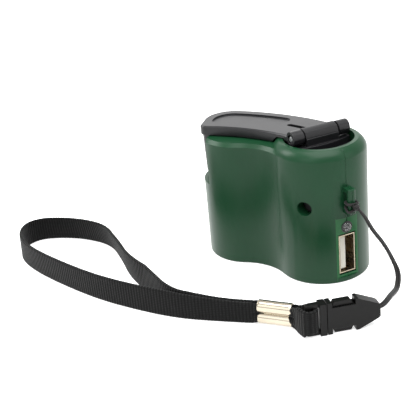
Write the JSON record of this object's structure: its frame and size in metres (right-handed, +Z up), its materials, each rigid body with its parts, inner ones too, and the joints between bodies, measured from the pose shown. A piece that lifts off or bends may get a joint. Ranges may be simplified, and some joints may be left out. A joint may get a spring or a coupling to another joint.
{
  "type": "hand crank phone charger",
  "caption": "Pocket hand-cranked charger: two-shell moulded body, fold-out crank with a spinning knob, geared generator, USB socket with a lamp, and a buckled wrist strap.",
  "frame": {"origin": "on the flat bottom face, under the crank's axis", "axes": "+Z up along the crank's axis; +X out of the USB socket, so the narrow tail of the body lies towards -X and -Y"},
  "size_m": [0.1214, 0.103, 0.0487],
  "materials": {
    "shell_green": "moulded ABS, dark green, semi-gloss",
    "crank_black": "moulded ABS, black, satin",
    "steel": "bright zinc plate",
    "gear_white": "moulded acetal",
    "bush_brass": "turned",
    "coil_copper": "enamelled wire",
    "magnet_grey": "sintered ferrite",
    "shell_steel": "nickel-plated sheet",
    "insert_ivory": "moulded",
    "contact_gold": "gold flash",
    "lamp_clear": "clear epoxy",
    "board_green": "solder mask",
    "component_black": "moulded epoxy",
    "can_aluminium": "drawn can",
    "cord_black": "braided cord",
    "webbing_black": "woven polyester webbing",
    "buckle_black": "moulded acetal",
    "ferrule_nickel": "nickel-plated, rubbed"
  },
  "bodies": {
    "root": {"front_shell": "shell_green", "rear_shell": "shell_green", "case_screw": "steel", "idler_axle": "steel", "gear_plate": "component_black", "gear_bridge": "steel", "rotor_bushes": "bush_brass", "stator_core": "magnet_grey", "stator_coils": "coil_copper", "usb_shell": "shell_steel", "usb_insert": "insert_ivory", "usb_contacts": "contact_gold", "lamp": "lamp_clear", "circuit_board": "board_green", "capacitor": "can_aluminium", "regulator_chip": "component_black", "choke": "component_black", "diodes": "component_black", "lanyard_cord": "cord_black", "cord_hitch": "cord_black", "strap_webbing": "webbing_black", "ferrule": "ferrule_nickel", "buckle_socket": "buckle_black", "buckle_clip": "buckle_black", "strap_end": "webbing_black"},
    "crank": {"crank_hub": "crank_black", "hinge_pin": "steel", "hub_washer": "steel", "hub_screw": "steel", "drive_gear": "gear_white"},
    "arm": {"crank_arm": "crank_black", "knob_screw": "steel"},
    "knob": {"crank_knob": "crank_black"},
    "idler": {"idler_gear": "gear_white"},
    "rotor": {"rotor_pinion": "gear_white", "rotor_shaft": "steel", "rotor_cup": "steel", "rotor_magnet": "magnet_grey"}
  },
  "joints": [
    {"name": "crank_spin", "type": "hinge", "parent": "root", "child": "crank", "pos_m": [0, 0, 0.0374], "axis": [0, 0, 1], "continuous": true},
    {"name": "arm_fold", "type": "hinge", "parent": "crank", "child": "arm", "pos_m": [0, 0, 0.04635], "axis": [0, 1, 0], "range_deg": [0, 180]},
    {"name": "knob_spin", "type": "hinge", "parent": "arm", "child": "knob", "pos_m": [-0.03585, -0.0207, 0.0431], "axis": [0, 0, 1], "continuous": true},
    {"name": "idler_spin", "type": "hinge", "parent": "root", "child": "idler", "pos_m": [-0.01442, -0.00413, 0.0316], "axis": [0, 0, 1], "continuous": true},
    {"name": "rotor_spin", "type": "hinge", "parent": "root", "child": "rotor", "pos_m": [-0.02502, -0.01166, 0.0245], "axis": [0, 0, 1], "continuous": true}
  ],
  "couplings": [
    {"joint": "idler_spin", "follows": "crank_spin", "ratio": -4},
    {"joint": "rotor_spin", "follows": "crank_spin", "ratio": 13.333}
  ]
}
